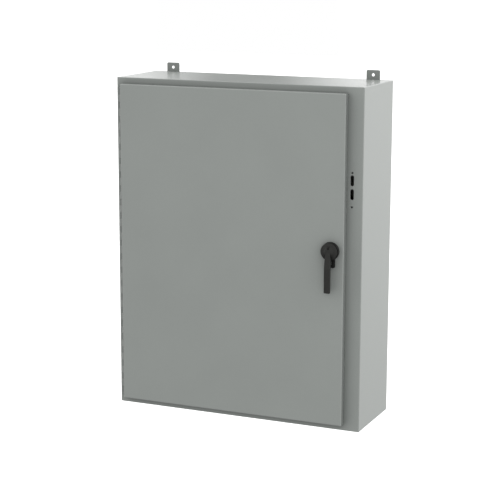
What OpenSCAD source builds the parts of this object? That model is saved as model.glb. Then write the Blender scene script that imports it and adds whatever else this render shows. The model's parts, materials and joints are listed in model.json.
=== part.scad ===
// Automatic transfer switch in a wall-mounted disconnect enclosure.
// Millimetres. Origin at the centre of the wall bolt pattern, on the wall plane.
// +X to the right of the door, -Y out of the wall, +Z up.

/* [Enclosure] */
// Width of the box
body_w = 949.3; // [930:0.1:1000]
// Height of the box
body_h = 1219.2; // [1200:0.1:1260]
// Depth of the box, back sheet to front flange
body_d = 304.8; // [290:0.1:360]
// Sheet thickness of box and door
sheet = 2; // [1.5:0.1:2.5]
// Outer bend radius
bend_r = 3; // [2.6:0.1:4]
// Flange width at top, bottom and hinge side
flange_w = 38; // [36:0.5:40]
// Flange width on the handle side
wide_flange_w = 80; // [79:0.5:84]
// Forward lip around the door opening
lip_h = 12; // [8:0.5:14]

/* [Wall feet] */
// Foot centre line, in from the side of the box
foot_inset = 76.2; // [60:0.1:120]
// Foot width
foot_w = 50.8; // [40:0.1:60]
// Height of the foot above the box
foot_rise = 33.3; // [30:0.1:40]
// Bolt hole centre above the box
foot_hole_rise = 15.9; // [14:0.1:18]
// Bolt hole diameter
foot_hole_d = 11.1; // [9:0.1:12]
// Foot plate thickness
foot_t = 3; // [2:0.5:4]

/* [Door] */
// Door face proud of the flange
door_proud = 25; // [24:0.5:27]
// Margin from the hinge side of the box
door_margin_l = 24.4; // [24:0.1:25]
// Margin from the handle side of the box
door_margin_r = 58.2; // [57:0.1:59]
// Margin at the top and bottom
door_margin_z = 22.4; // [21:0.1:24]
// Air gap between door rim and flange
door_air = 2; // [1.5:0.1:3]

/* [Hinge] */
// Knuckle pitch
knuckle = 25.4; // [25:0.1:25.4]
// Number of knuckles, odd
knuckles = 45; // [41:2:45]
// Barrel diameter
barrel_d = 9.5; // [8.5:0.1:9.5]
// Pin diameter
hinge_pin_d = 3.2; // [3:0.1:4]

/* [Handle and latch] */
// Handle axis, in from the handle side of the box
handle_inset = 105.1; // [104.5:0.1:106]
// Handle axis below the top of the box
handle_drop = 568; // [500:1:640]
// Diameter of the fixed base
handle_base_d = 64; // [62:0.5:70]
// Diameter of the turning disc
handle_disc_d = 61; // [58:0.5:61]
// Lever tip below the axis
lever_reach = 144; // [130:0.5:150]
// Lever width
lever_w = 22; // [20:0.5:24]
// Throw radius of the latch cam
cam_r = 14; // [13:0.5:14]
// Gap kept between roller and flange edge
latch_gap = 1; // [0.5:0.1:2]

/* [Transfer switch] */
// Pole pitch
pole = 96; // [96:1:98]
// Height of the contact shaft above the panel
shaft_h = 92; // [92:1:94]
// Contact shaft radius
shaft_r = 8; // [7:0.5:8]
// Half of the contact swing, degrees
swing = 40; // [38:1:40]
// Reach of the moving contacts from the shaft axis
arm_r = 66; // [64:1:66]
// Throw radius of the operator crank
crank_r = 32; // [30:1:32]

/* [Controller] */
// Controller width
ctrl_w = 220; // [200:5:230]
// Controller height
ctrl_h = 160; // [150:5:165]
// Controller depth
ctrl_d = 50; // [48:1:60]

/* [Hidden] */
$fn = 48;

// Colours
grey_paint = [0.57, 0.59, 0.57];
white_paint = [0.9, 0.9, 0.88];
black_zinc = [0.2, 0.2, 0.19];
zinc = [0.72, 0.73, 0.74];
copper = [0.8, 0.5, 0.32];
aluminium = [0.8, 0.8, 0.8];
dark_moulding = [0.22, 0.22, 0.24];
brown_moulding = [0.35, 0.2, 0.14];
rubber = [0.12, 0.12, 0.12];

// Box
x_l = -body_w / 2;
x_r = body_w / 2;
z_t = body_h / 2;
z_b = -body_h / 2;
y_back = -foot_t;
y_front = y_back - body_d;
op_l = x_l + flange_w;
op_r = x_r - wide_flange_w;
op_t = z_t - flange_w;
op_b = z_b + flange_w;

// Slots and holes for a flange-mounted operator
slot_x = x_r - 39.6;
slot_w = 12.7;
slot_len = 38.1;
slot_drops = [321.9, 370];
operator_hole_drops = [295, 414.1];
operator_hole_r = 3.6;

// Back panel
stud_x = 380;
stud_zs = [-535, 0, 535];
stud_r = 4;
panel_x = 406;
panel_z = 559;
panel_back = y_back - sheet - 20;
panel_t = 2.5;
panel_front = panel_back - panel_t;

// Door
d_l = x_l + door_margin_l;
d_r = x_r - door_margin_r;
d_t = z_t - door_margin_z;
d_b = z_b + door_margin_z;
d_front = y_front - door_proud;
d_inner = d_front + sheet;
d_rim = y_front - door_air;
gasket_w = 12;

// Hinge
hinge_x = x_l + 14;
hinge_y = y_front - barrel_d / 2 - 0.5;
hinge_top = knuckle * knuckles / 2;
leaf_t = 1.5;
knuckle_gap = 0.4;
pin_clear = 0.05;

// Handle and latch; distances along the handle axis are measured out of the door face
h_x = x_r - handle_inset;
h_z = z_t - handle_drop;
journal_r = 8;
cam_front = -28;
cam_t = 4;
cam_pin_r = 3;
cam_a = 45;
cam_off = cam_r * sin(cam_a);
rod_front = -35;
rod_t = 5;
rod_w = 12;
rod_off = 10;
rod_y1 = d_front - rod_front + rod_t;
rod_y0 = rod_y1 - rod_t;
rod_mid = rod_y0 + rod_t / 2;
roller_r = 8;
roller_w = 6;
roller_pin_r = 2;
roller_top = op_t - latch_gap - roller_r;
roller_bottom = op_b + latch_gap + roller_r;
pin_play = 0.9;

// Transfer switch
sw_x = -70;
sw_z = 150;
base_w = 300;
base_h = 430;
base_t = 24;
bar_t = 8;
contact_gap = 0.3;
poles = [-pole, 0, pole];
side_x = 152;
sol_x = 191;
sol_z = 64;
plunger_r = 14;
plunger_bore_r = 14.4;
emergency_x = -22;
load_x = 25;
lug_y = 195;

// Other panel equipment
ctrl_x = -215;
ctrl_z = -330;
duct_z = -170;
duct_x0 = -380;
duct_x1 = 340;
duct_w = 40;
rail_z = -240;
rail_x0 = -70;
rail_x1 = 350;
wire_r = 3.5;

// Points of an arc about (cx, cy)
function arc(cx, cy, r, a0, a1, n = 6) =
    [for (i = [0:n]) [cx + r * cos(a0 + (a1 - a0) * i / n), cy + r * sin(a0 + (a1 - a0) * i / n)]];

// Outline of a rectangle with rounded corners
function rounded(x0, y0, x1, y1, r, n = 6) = concat(
    arc(x1 - r, y1 - r, r, 0, 90, n), arc(x0 + r, y1 - r, r, 90, 180, n),
    arc(x0 + r, y0 + r, r, 180, 270, n), arc(x1 - r, y0 + r, r, 270, 360, n));

// Axis-parallel box between two corners
module box(a, b) {
    translate(a) cube(b - a);
}

// Rounded plates whose thickness runs along one axis
module plate_y(x0, z0, x1, z1, y0, y1, r, n = 6) {
    translate([0, y1, 0]) rotate([90, 0, 0]) linear_extrude(y1 - y0) polygon(rounded(x0, z0, x1, z1, r, n));
}
module plate_x(y0, z0, y1, z1, x0, x1, r, n = 6) {
    translate([x0, 0, 0]) rotate([90, 0, 90]) linear_extrude(x1 - x0) polygon(rounded(y0, z0, y1, z1, r, n));
}
module plate_z(x0, y0, x1, y1, z0, z1, r, n = 6) {
    translate([0, 0, z0]) linear_extrude(z1 - z0) polygon(rounded(x0, y0, x1, y1, r, n));
}

// Box with every edge rounded
module soft_box(a, b, r) {
    intersection() {
        plate_y(a[0], a[2], b[0], b[2], a[1], b[1], r, 4);
        plate_x(a[1], a[2], b[1], b[2], a[0], b[0], r, 4);
        plate_z(a[0], a[1], b[0], b[1], a[2], b[2], r, 4);
    }
}

// Round bar or hole along an axis
module rod_y(x, z, y0, y1, r) {
    translate([x, y1, z]) rotate([90, 0, 0]) cylinder(h = y1 - y0, r = r);
}
module rod_x(y, z, x0, x1, r) {
    translate([x0, y, z]) rotate([0, 90, 0]) cylinder(h = x1 - x0, r = r);
}
module rod_z(x, y, z0, z1, r) {
    translate([x, y, z0]) cylinder(h = z1 - z0, r = r);
}

// Local frame on the back panel: x right, y up, z out of the panel
module on_panel(x, z) {
    translate([x, panel_front, z]) rotate([90, 0, 0]) children();
}

// Local frame at the handle: x right, y up, z out of the door face
module at_handle() {
    translate([h_x, d_front, h_z]) rotate([90, 0, 0]) children();
}

// Local frame at the contact shaft axis, turned with the moving contacts
module on_shaft(a) {
    translate([0, 0, shaft_h]) rotate([a, 0, 0]) children();
}

// ---------------------------------------------------------------- enclosure

module enclosure_body() {
    color(grey_paint) difference() {
        union() {
            difference() {
                soft_box([x_l, y_front, z_b], [x_r, y_back, z_t], bend_r);
                box([x_l + sheet, y_front + sheet, z_b + sheet], [x_r - sheet, y_back - sheet, z_t - sheet]);
            }
            box([op_l - sheet, y_front - lip_h, op_b - sheet],
                [op_r + sheet, y_front + sheet / 2, op_t + sheet]);
            for (x = [-stud_x, stud_x], z = stud_zs) {
                rod_y(x, z, y_back - 38, y_back - sheet / 2, stud_r);
                rod_y(x, z, panel_back, y_back - sheet / 2, 2 * stud_r);
            }
        }
        box([op_l, y_front - lip_h - 1, op_b], [op_r, y_front + sheet + 1, op_t]);
        for (drop = slot_drops) {
            z = z_t - drop;
            plate_y(slot_x - slot_w / 2, z - slot_len / 2, slot_x + slot_w / 2, z + slot_len / 2,
                    y_front - 1, y_front + sheet + 1, slot_w / 2 - 0.01, 10);
        }
        for (drop = operator_hole_drops) {
            rod_y(slot_x, z_t - drop, y_front - 1, y_front + sheet + 1, operator_hole_r);
        }
    }
}

module mounting_feet() {
    foot_in = 45;
    color(grey_paint) for (side = [-1, 1], end = [-1, 1]) {
        x = side * (x_r - foot_inset);
        z_tip = end * (z_t + foot_rise);
        z_root = end * (z_t - foot_in);
        difference() {
            plate_y(x - foot_w / 2, min(z_tip, z_root), x + foot_w / 2, max(z_tip, z_root), y_back, 0, 5);
            rod_y(x, end * (z_t + foot_hole_rise), y_back - 1, 1, foot_hole_d / 2);
        }
    }
}

module back_panel() {
    color(white_paint) difference() {
        plate_y(-panel_x, -panel_z, panel_x, panel_z, panel_front, panel_back, 8);
        for (x = [-stud_x, stud_x], z = stud_zs) {
            rod_y(x, z, panel_front - 1, panel_back + 1, stud_r + 0.5);
        }
    }
}

module panel_nuts() {
    nut_h = 6.5;
    color(zinc) for (x = [-stud_x, stud_x], z = stud_zs) {
        translate([x, panel_front, z]) rotate([90, 0, 0]) difference() {
            union() {
                cylinder(h = 1.6, r = 9);
                cylinder(h = nut_h, r = 7.5, $fn = 6);
            }
            translate([0, 0, -1]) cylinder(h = nut_h + 2, r = stud_r + 0.03);
        }
    }
}

// ---------------------------------------------------------------- hinge

// Knuckles first, first + 2, ... counted from the top
module knuckle_row(first) {
    for (k = [first:2:knuckles - 1]) {
        translate([0, 0, hinge_top - (k + 1) * knuckle + knuckle_gap / 2]) children();
    }
}

module hinge_body_leaf() {
    leaf_l = x_l + bend_r + 0.3;
    leaf_r = hinge_x - 3.8;
    k_len = knuckle - knuckle_gap;
    color(grey_paint) difference() {
        union() {
            box([leaf_l, y_front - leaf_t, -hinge_top], [leaf_r, y_front, hinge_top]);
            knuckle_row(0) {
                box([leaf_r - 1, y_front - leaf_t, 0], [hinge_x, y_front, k_len]);
                rod_z(hinge_x, hinge_y, 0, k_len, barrel_d / 2);
            }
        }
        rod_z(hinge_x, hinge_y, -hinge_top - 1, hinge_top + 1, hinge_pin_d / 2 + pin_clear);
    }
}

module hinge_door_leaf() {
    k_len = knuckle - knuckle_gap;
    tab_front = hinge_y - barrel_d / 2;
    color(grey_paint) difference() {
        union() {
            box([d_l - leaf_t, d_front + bend_r + 1, -hinge_top], [d_l, d_rim - 0.5, hinge_top]);
            knuckle_row(1) {
                box([hinge_x, tab_front, 0], [d_l - leaf_t / 2, tab_front + leaf_t, k_len]);
                rod_z(hinge_x, hinge_y, 0, k_len, barrel_d / 2);
            }
        }
        rod_z(hinge_x, hinge_y, -hinge_top - 1, hinge_top + 1, hinge_pin_d / 2 + pin_clear);
    }
}

module hinge_pin() {
    head_h = 1.5;
    color(zinc) {
        rod_z(hinge_x, hinge_y, -hinge_top - head_h, hinge_top + head_h, hinge_pin_d / 2);
        rod_z(hinge_x, hinge_y, hinge_top, hinge_top + head_h, 3.2);
        rod_z(hinge_x, hinge_y, -hinge_top - head_h, -hinge_top, 3.2);
    }
}

// ---------------------------------------------------------------- door

module door_panel() {
    color(grey_paint) difference() {
        soft_box([d_l, d_front, d_b], [d_r, d_rim + 2 * bend_r, d_t], bend_r);
        box([d_l - 1, d_rim, d_b - 1], [d_r + 1, d_rim + 3 * bend_r, d_t + 1]);
        box([d_l + sheet, d_inner, d_b + sheet], [d_r - sheet, d_rim + 1, d_t - sheet]);
        rod_y(h_x, h_z, d_front - 1, d_inner + 1, 10.2);
    }
}

module door_gasket() {
    in = gasket_w / 2 - sheet / 2;
    out = gasket_w / 2 + sheet / 2;
    y1 = y_front - lip_h - 0.3;
    color(rubber) difference() {
        box([op_l - out, d_inner, op_b - out], [op_r + out, y1, op_t + out]);
        box([op_l + in, d_inner - 1, op_b + in], [op_r - in, y1 + 1, op_t - in]);
    }
}

module rod_guides() {
    arm_y1 = rod_y1 + 4;
    gap = 0.3;
    guides = [[rod_off, h_z + 140], [rod_off, op_t - 60], [-rod_off, h_z - 140], [-rod_off, op_b + 60]];
    color(zinc) for (g = guides) {
        x = h_x + g[0];
        difference() {
            union() {
                box([x - 14, d_inner, g[1] - 14], [x + 9.7, d_inner + 2.5, g[1] + 14]);
                box([x - 14, d_inner, g[1] - 1.5], [x + 9.7, arm_y1, g[1] + 1.5]);
            }
            box([x - rod_w / 2 - gap, rod_y0 - gap, g[1] - 2], [x + rod_w / 2 + gap, rod_y1 + gap, g[1] + 2]);
        }
    }
}

module document_pocket() {
    pocket_d = 32;
    wall = 2;
    color([0.25, 0.26, 0.27]) difference() {
        soft_box([-210, d_inner, -360], [100, d_inner + pocket_d, -110], 6);
        box([-210 + wall, d_inner + wall, -360 + wall], [100 - wall, d_inner + pocket_d - wall, -100]);
        plate_y(-120, -160, 10, -60, d_inner + pocket_d - 6, d_inner + pocket_d + 1, 30);
    }
}

// ---------------------------------------------------------------- handle

module handle_base() {
    r = handle_base_d / 2;
    tongue_w = 34;
    tongue_end = -58;
    color(black_zinc) at_handle() difference() {
        union() {
            rotate_extrude($fn = 96)
                polygon([[0, 1], [r, 1], [r, 7.5], [r - 1, 9.5], [r - 3, 10.6], [20, 11], [0, 11]]);
            translate([0, 0, -10]) cylinder(h = 12, r = 10);
            plate_z(-tongue_w / 2, tongue_end, tongue_w / 2, -15, 1, 6, 4);
            difference() {
                plate_z(-tongue_w / 2, tongue_end, tongue_w / 2, -15, 5, 9, 4);
                plate_z(-tongue_w / 2 + 4, tongue_end + 4, tongue_w / 2 - 4, -10, 4, 10, 2);
            }
        }
        translate([0, 0, -11]) cylinder(h = 30, r = journal_r + 0.05);
        plate_z(-5, tongue_end + 8, 5, -34, 0, 10, 4.9);
    }
}

module handle_seal() {
    color(rubber) at_handle() difference() {
        cylinder(h = 1, r = handle_base_d / 2 - 1);
        translate([0, 0, -1]) cylinder(h = 3, r = 10.1);
    }
}

module handle_nut() {
    color(zinc) at_handle() translate([0, 0, -sheet - 5]) difference() {
        cylinder(h = 5, r = 15.5, $fn = 6);
        translate([0, 0, -1]) cylinder(h = 7, r = 10.03);
    }
}

// One rounded bar of the lever, between two stations [height up, distance out]
module lever_bar(a, b, half) {
    r = 6;
    hull() {
        for (side = [-1, 1]) {
            translate([side * half[0], a[0], a[1]]) sphere(r = r, $fn = 32);
            translate([side * half[1], b[0], b[1]]) sphere(r = r, $fn = 32);
        }
    }
}

module handle_lever() {
    r = handle_disc_d / 2;
    half = lever_w / 2 - 6;
    bend = [-58, 33];
    tip = [-lever_reach + 6, 33];
    color(black_zinc) at_handle() difference() {
        union() {
            rotate_extrude($fn = 96) polygon([
                [0, 11.3], [r - 1, 11.3], [r, 12.3], [r, 20], [r - 1.2, 21.8], [r - 3.5, 23],
                [22, 24.2], [17, 26.5], [14, 29], [11, 30.8], [6, 31.4], [0, 31.5]]);
            lever_bar([-3, 26], bend, [half - 2, half]);
            lever_bar(bend, tip, [half, half]);
        }
        translate([0, 0, 11]) cylinder(h = 8, r = journal_r);
        translate([0, 14, 16]) cylinder(h = 20, r = 4.55);
    }
}

module key_plug() {
    color(black_zinc) at_handle() translate([0, 14, 16]) difference() {
        cylinder(h = 11, r = 4.5);
        translate([-0.9, -3, 6]) cube([1.8, 6, 6]);
    }
}

module handle_shaft() {
    square_w = 10;
    color(zinc) at_handle() {
        translate([0, 0, -14]) cylinder(h = 33, r = journal_r);
        translate([-square_w / 2, -square_w / 2, cam_front - cam_t]) cube([square_w, square_w, 18 + 1]);
        translate([0, 0, cam_front - cam_t - 2]) cylinder(h = 2, r = journal_r);
    }
}

module latch_cam() {
    square_w = 10;
    color(zinc) at_handle() {
        translate([0, 0, cam_front - cam_t]) linear_extrude(cam_t) difference() {
            union() {
                circle(r = 12);
                rotate(cam_a) polygon(rounded(-cam_r - 6, -6, cam_r + 6, 6, 5.9));
                polygon(rounded(0, -6, 23, 6, 3));
            }
            square([square_w, square_w], center = true);
        }
        for (a = [cam_a, cam_a + 180]) {
            translate([cam_r * cos(a), cam_r * sin(a), cam_front - cam_t - 9])
                cylinder(h = 9.5, r = cam_pin_r);
        }
    }
}

// Latch rod with a slotted yoke at the cam and a roller fork at the far end; side is 1 above, -1 below
module latch_rod(side, z_roller) {
    x = h_x + side * rod_off;
    z_pin = h_z + side * cam_off;
    slot_h = 2 * (cam_pin_r + pin_play);
    slot_in = h_x + side * (cam_off - cam_pin_r - pin_play);
    slot_out = h_x + side * (cam_r + cam_pin_r + pin_play);
    web = 2.6;
    z_end = z_roller + side * 4;
    z_block = z_roller - side * 13;
    z_slot = z_roller - side * 9.5;
    fork = roller_w / 2 + 0.3;
    color(zinc) difference() {
        union() {
            plate_y(min(slot_in, slot_out) - web, z_pin - 7, max(slot_in, slot_out) + web, z_pin + 7,
                    rod_y0, rod_y1, 2);
            box([x - rod_w / 2, rod_y0, min(z_pin, z_slot)], [x + rod_w / 2, rod_y1, max(z_pin, z_slot)]);
            difference() {
                box([x - rod_w / 2, rod_mid - 5, min(z_block, z_end)],
                    [x + rod_w / 2, rod_mid + 5, max(z_block, z_end)]);
                box([x - fork, rod_mid - 6, min(z_slot, z_end + side)],
                    [x + fork, rod_mid + 6, max(z_slot, z_end + side)]);
            }
            rod_x(rod_mid, z_roller, x - rod_w / 2, x + rod_w / 2, roller_pin_r);
        }
        box([min(slot_in, slot_out), rod_y0 - 1, z_pin - slot_h / 2],
            [max(slot_in, slot_out), rod_y1 + 1, z_pin + slot_h / 2]);
    }
}

module latch_roller(x, z) {
    color([0.85, 0.85, 0.8]) difference() {
        rod_x(rod_mid, z, x - roller_w / 2, x + roller_w / 2, roller_r);
        rod_x(rod_mid, z, x - roller_w, x + roller_w, roller_pin_r + 0.05);
    }
}

module upper_latch_rod() {
    latch_rod(1, roller_top);
}

module lower_latch_rod() {
    latch_rod(-1, roller_bottom);
}

module upper_roller() {
    latch_roller(h_x + rod_off, roller_top);
}

module lower_roller() {
    latch_roller(h_x - rod_off, roller_bottom);
}

// ---------------------------------------------------------------- transfer switch

module switch_base() {
    wall = 6;
    color(dark_moulding) on_panel(sw_x, sw_z) {
        plate_z(-base_w / 2, -base_h / 2, base_w / 2, base_h / 2, 0, base_t, 6);
        for (i = [-1.5, -0.5, 0.5, 1.5], side = [-1, 1]) {
            x = i * pole;
            ends = [side * 30, side * (base_h / 2 - 2)];
            box([x - wall / 2, min(ends), base_t - 1], [x + wall / 2, max(ends), base_t + 80]);
        }
    }
}

// Source contact of one pole: lug bar, riser and the inclined pad that the moving contact meets
module source_contact(bar_x0, bar_x1, riser_x1) {
    color(copper) {
        box([bar_x0, 47, base_t], [bar_x1, base_h / 2 - 1, base_t + bar_t]);
        box([bar_x0, 47, base_t], [riser_x1, 58, base_t + 28]);
        on_shaft(swing) box([max(bar_x0, -10), 5 + contact_gap, -arm_r], [min(riser_x1, 10), 11, 22 - arm_r]);
    }
}

module normal_terminals() {
    on_panel(sw_x, sw_z) for (x = poles) {
        translate([x, 0, 0]) source_contact(-15, 15, 15);
    }
}

module emergency_terminals() {
    half = 14;
    on_panel(sw_x, sw_z) for (x = poles) {
        translate([x, 0, 0]) mirror([0, 1, 0]) source_contact(emergency_x - half, emergency_x + half, 6);
    }
}

// Load bar with the jaw plate that bears on the hub of the moving contact
module load_terminals() {
    jaw_x = 10.4;
    half = 13;
    color(copper) on_panel(sw_x, sw_z) for (x = poles) {
        translate([x, 0, 0]) difference() {
            union() {
                box([load_x - half, 1 - base_h / 2, base_t], [load_x + half, 16, base_t + bar_t]);
                box([jaw_x, -16, base_t], [jaw_x + 6, 16, shaft_h + 20]);
            }
            rod_x(0, shaft_h, 0, 30, shaft_r + 4);
        }
    }
}

// Lug positions on the switch: [x, y]
lugs = [for (x = poles) each [[x, lug_y], [x + emergency_x, -lug_y], [x + load_x, -lug_y]]];
lug_z = base_t + bar_t;

module cable_lugs() {
    half = 14;
    color(aluminium) on_panel(sw_x, sw_z) for (p = lugs) {
        translate([p[0], p[1], lug_z]) difference() {
            plate_y(-half, 0, half, 28, -17, 17, 3);
            rod_y(0, 15, -18, 18, 8.5);
            rod_z(0, 0, 15, 30, 5);
        }
    }
}

module lug_screws() {
    color(zinc) on_panel(sw_x, sw_z) for (p = lugs) {
        translate([p[0], p[1], lug_z + 24]) difference() {
            cylinder(h = 11, r = 4.95);
            translate([0, 0, 6]) cylinder(h = 6, r = 3, $fn = 6);
        }
    }
}

// One copy of the children per pole and per source
module each_break() {
    on_panel(sw_x, sw_z) for (x = poles, side = [0, 1]) {
        translate([x, 0, 0]) mirror([0, side, 0]) children();
    }
}

chute_x = pole / 2 - 3;
chute_y0 = 70;
chute_y1 = 132;
chute_z0 = 50;
chute_z1 = 136;

module arc_chutes() {
    wall = 3;
    color(brown_moulding) each_break() difference() {
        plate_z(-chute_x, chute_y0, chute_x, chute_y1, chute_z0, chute_z1, 2);
        box([wall - chute_x, chute_y0 - 1, chute_z0 - 1], [chute_x - wall, chute_y1 - wall, chute_z1 - wall]);
        for (y = [82, 94, 106, 118]) {
            plate_z(-30, y - 2.5, 30, y + 2.5, chute_z1 - wall - 1, chute_z1 + 1, 2.4);
        }
    }
}

module arc_splitters() {
    wall = 3;
    plate_t = 1.6;
    color(zinc) each_break() for (z = [58, 70, 82, 94, 106, 118]) {
        difference() {
            box([wall - chute_x, chute_y0 + 4, z], [chute_x - wall, chute_y1 - wall, z + plate_t]);
            box([-9, chute_y0, z - 1], [9, chute_y0 + 20, z + plate_t + 1]);
        }
    }
}

module shaft_side_plates() {
    plate_t = 4;
    bore = shaft_r + 0.05;
    color(zinc) on_panel(sw_x, sw_z) for (side = [0, 1]) {
        mirror([side, 0, 0]) difference() {
            union() {
                plate_x(-60, 0, 60, shaft_h + 26, side_x, side_x + plate_t, 4);
                box([side_x, -60, 0], [side_x + 20, 60, 4]);
                rod_x(0, shaft_h, side_x + plate_t / 2, side_x + 10, 14);
            }
            rod_x(0, shaft_h, side_x - 1, side_x + 11, bore);
            for (y = [-45, 45]) {
                rod_z(side_x + 13, y, -1, 5, 3.2);
            }
        }
    }
}

module position_sensors() {
    color([0.15, 0.15, 0.17]) on_panel(sw_x, sw_z) for (side = [-1, 1]) {
        plate_z(-181.5, side * 28 - 10, -173, side * 28 + 10, 0, 70, 2);
    }
}

module contact_shaft() {
    color(zinc) on_panel(sw_x, sw_z) rod_x(0, shaft_h, -201, 186, shaft_r);
}

module contact_carriers() {
    color(brown_moulding) on_panel(sw_x, sw_z) for (x = poles) {
        difference() {
            union() {
                rod_x(0, shaft_h, x - 32, x - 10, 18);
                rod_x(0, shaft_h, x - 11, x + 10, 11);
            }
            rod_x(0, shaft_h, x - 33, x + 11, shaft_r);
        }
    }
}

module moving_contacts() {
    half = 9.9;
    color(copper) on_panel(sw_x, sw_z) on_shaft(swing) for (x = poles) {
        difference() {
            union() {
                rod_x(0, 0, x - half, x + half, 16);
                box([x - half, -5, -arm_r], [x + half, 5, 0]);
            }
            rod_x(0, 0, x - 12, x + 12, 11);
        }
    }
}

module shaft_crank() {
    color(zinc) on_panel(sw_x, sw_z) on_shaft(swing) difference() {
        union() {
            rod_x(0, 0, 176, 184, 14);
            plate_x(-7, -crank_r - 7, 7, 0, 176, 184, 4);
            rod_x(0, -crank_r, 183, 199, 4);
        }
        rod_x(0, 0, 175, 185, shaft_r);
    }
}

module manual_handle() {
    color(black_zinc) on_panel(sw_x, sw_z) on_shaft(swing) difference() {
        union() {
            rod_x(0, 0, -200, -188, 15);
            plate_x(-7, 0, 7, 78, -198, -190, 3);
            translate([-194, 0, 70]) cylinder(h = 46, r = 9);
            translate([-194, 0, 116]) sphere(r = 9);
        }
        rod_x(0, 0, -202, -187, shaft_r);
    }
}

module position_flag() {
    color([0.85, 0.7, 0.1]) on_panel(sw_x, sw_z) on_shaft(swing) difference() {
        rod_x(0, 0, -186, -183, 30);
        rod_x(0, 0, -187, -182, shaft_r);
        box([-187, -31, -31], [-182, 0, -12]);
    }
}

module solenoid_frame() {
    color(zinc) on_panel(sw_x, sw_z) difference() {
        union() {
            box([sol_x - 38, -171, 0], [sol_x + 38, -165, sol_z + 38]);
            box([sol_x - 38, -85, 0], [sol_x + 38, -79, sol_z + 38]);
            box([sol_x - 38, -171, 22], [sol_x + 38, -79, 28]);
        }
        rod_y(sol_x, sol_z, -172, -78, plunger_bore_r);
    }
}

module solenoid_coil() {
    color([0.5, 0.16, 0.1]) on_panel(sw_x, sw_z) difference() {
        union() {
            rod_y(sol_x, sol_z, -163, -87, 30);
            rod_y(sol_x, sol_z, -165, -161, 34);
            rod_y(sol_x, sol_z, -89, -85, 34);
        }
        rod_y(sol_x, sol_z, -166, -84, plunger_bore_r);
    }
}

module solenoid_plunger() {
    y_pin = crank_r * sin(swing);
    z_pin = shaft_h - crank_r * cos(swing);
    play = 1.1;
    reach = 4 + play;
    color(zinc) on_panel(sw_x, sw_z) difference() {
        union() {
            plate_x(y_pin - 11, 48, y_pin + 11, 79, sol_x - 4, sol_x + 4, 4);
            rod_y(sol_x, sol_z, -63, y_pin - 10, 6);
            rod_y(sol_x, sol_z, -142, -62, plunger_r);
        }
        box([sol_x - 5, y_pin - reach, shaft_h - crank_r - reach], [sol_x + 5, y_pin + reach, z_pin + reach]);
    }
}

module dead_front_shield() {
    color([0.85, 0.9, 0.95, 0.35]) on_panel(sw_x, sw_z) difference() {
        plate_z(-150, -245, 150, 245, 160, 163, 8);
        for (x = [-135, 135], y = [-232, 232]) {
            rod_z(x, y, 159, 164, 3);
        }
    }
}

module shield_standoffs() {
    color(zinc) on_panel(sw_x, sw_z) for (x = [-135, 135], y = [-232, 232]) {
        rod_z(x, y, 0, 160, 6);
        rod_z(x, y, 159, 164, 2.95);
        rod_z(x, y, 163, 166.5, 5.5);
    }
}

// ---------------------------------------------------------------- controller

button_xs = [60, 88];
button_y = -45;
lamp_xs = [-80, -60, -40, -20, 0];
lamp_y = -45;
window = [-90, -5, 30, 55];

module controller_case() {
    wall = 3;
    color([0.3, 0.31, 0.33]) on_panel(ctrl_x, ctrl_z) {
        difference() {
            plate_z(-ctrl_w / 2, -ctrl_h / 2, ctrl_w / 2, ctrl_h / 2, 0, ctrl_d, 6);
            box([wall - ctrl_w / 2, wall - ctrl_h / 2, wall],
                [ctrl_w / 2 - wall, ctrl_h / 2 - wall, ctrl_d + 1]);
        }
        for (x = [-88, 88], y = [-62, 62]) {
            rod_z(x, y, wall / 2, 12, 4);
        }
    }
}

module controller_cover() {
    color([0.75, 0.76, 0.77]) on_panel(ctrl_x, ctrl_z) difference() {
        plate_z(-ctrl_w / 2, -ctrl_h / 2, ctrl_w / 2, ctrl_h / 2, ctrl_d, ctrl_d + 4, 6);
        box([window[0], window[1], ctrl_d - 1], [window[2], window[3], ctrl_d + 5]);
        for (x = button_xs) {
            rod_z(x, button_y, ctrl_d - 1, ctrl_d + 5, 9.4);
        }
        for (x = lamp_xs) {
            rod_z(x, lamp_y, ctrl_d - 1, ctrl_d + 5, 3);
        }
    }
}

module controller_board() {
    color([0.1, 0.35, 0.2]) on_panel(ctrl_x, ctrl_z) {
        box([-98, -70, 12], [98, 70, 13.6]);
        box([window[0] + 3, window[1] + 3, 13], [window[2] - 3, window[3] - 3, ctrl_d - 4]);
        for (x = [-90:22:64]) {
            box([x, -68, 13], [x + 18, -56, 26]);
        }
        for (x = [50, 66, 82]) {
            rod_z(x, 40, 13, 34, 6.5);
        }
        for (x = button_xs) {
            rod_z(x, button_y, 13, ctrl_d - 9.6, 3);
        }
    }
}

module controller_windows() {
    color([0.6, 0.75, 0.7, 0.5]) on_panel(ctrl_x, ctrl_z) {
        box([window[0], window[1], ctrl_d], [window[2], window[3], ctrl_d + 3]);
        for (x = lamp_xs) {
            rod_z(x, lamp_y, ctrl_d, ctrl_d + 5, 2.95);
        }
    }
}

module controller_button(x) {
    on_panel(ctrl_x, ctrl_z) {
        rod_z(x, button_y, ctrl_d - 5.5, ctrl_d - 1.5, 11);
        rod_z(x, button_y, ctrl_d - 2, ctrl_d + 10, 9);
    }
}

module test_button() {
    color([0.15, 0.4, 0.2]) controller_button(button_xs[0]);
}

module reset_button() {
    color([0.6, 0.15, 0.12]) controller_button(button_xs[1]);
}

// ---------------------------------------------------------------- control gear on the panel

module transformer_core() {
    color([0.35, 0.36, 0.38]) on_panel(90, -400) {
        translate([0, 0, 18]) linear_extrude(42) difference() {
            square([96, 80], center = true);
            for (x = [-24, 24]) {
                translate([x, 0]) square([16, 48], center = true);
            }
        }
        for (y = [-40, 34]) {
            box([-48, y, 0], [48, y + 6, 19]);
        }
    }
}

module transformer_coil() {
    color([0.55, 0.35, 0.12]) on_panel(90, -400) difference() {
        plate_z(-31.8, -23.8, 31.8, 23.8, 8, 70, 5);
        box([-16, -30, 18], [16, 30, 60]);
    }
}

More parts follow.
